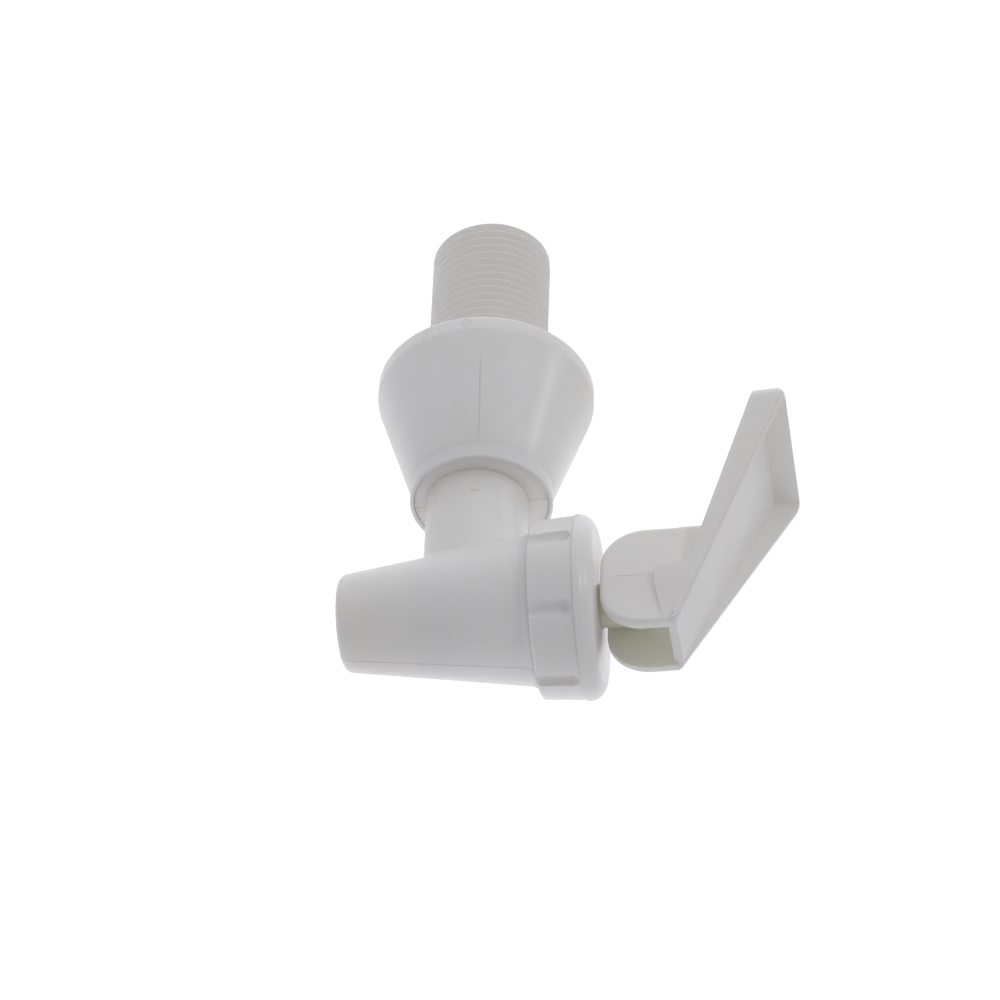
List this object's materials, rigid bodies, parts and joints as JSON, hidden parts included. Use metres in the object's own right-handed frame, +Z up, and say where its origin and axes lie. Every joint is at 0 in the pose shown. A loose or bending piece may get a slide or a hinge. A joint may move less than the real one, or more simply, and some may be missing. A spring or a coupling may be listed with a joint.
{
  "type": "water dispenser faucet",
  "caption": "Wall-mounted dispenser faucet: threaded shank, conical collar, tapered spout body, fluted bonnet and a sprung paddle lever that swivels, tips and lifts its stem.",
  "frame": {"origin": "on the shank axis, in the plane where the collar meets the tank wall", "axes": "+Y along the shank into the wall, +Z up through the bonnet and lever, X along the lever's pivot"},
  "size_m": [0.0344, 0.092, 0.0697],
  "materials": {
    "body_plastic": "semi-gloss moulded white polypropylene",
    "collar_plastic": "semi-gloss moulded white polypropylene",
    "bonnet_plastic": "semi-gloss moulded white polypropylene",
    "handle_plastic": "semi-gloss moulded white polypropylene",
    "stem_plastic": "natural acetal",
    "silicone": "translucent white silicone",
    "spring_steel": "drawn stainless wire",
    "washer_steel": "stamped stainless steel"
  },
  "bodies": {
    "faucet_body": {"body": "body_plastic", "collar": "collar_plastic", "bonnet": "bonnet_plastic", "seat_cup": "silicone"},
    "swivel_set": {"spring_washer": "washer_steel", "spring": "spring_steel"},
    "stem_set": {"stem": "stem_plastic"},
    "lever": {"handle": "handle_plastic"}
  },
  "joints": [
    {"name": "lever_swivel", "type": "hinge", "parent": "faucet_body", "child": "swivel_set", "pos_m": [0, -0.0477, 0.0171], "axis": [0, 0, 1], "continuous": true},
    {"name": "stem_lift", "type": "slide", "parent": "swivel_set", "child": "stem_set", "axis": [0, 0, 1], "range_m": [0, 0.0022], "stiffness_N_per_m": 290, "springref_m": -0.006, "deforming": ["spring", "seat_cup"]},
    {"name": "lever_press", "type": "hinge", "parent": "stem_set", "child": "lever", "pos_m": [0, -0.0477, 0.0249], "axis": [-1, 0, 0], "range_deg": [0, 40]}
  ],
  "couplings": [
    {"joint": "lever_press", "follows": "stem_lift", "rad_per_m": 317.33}
  ]
}
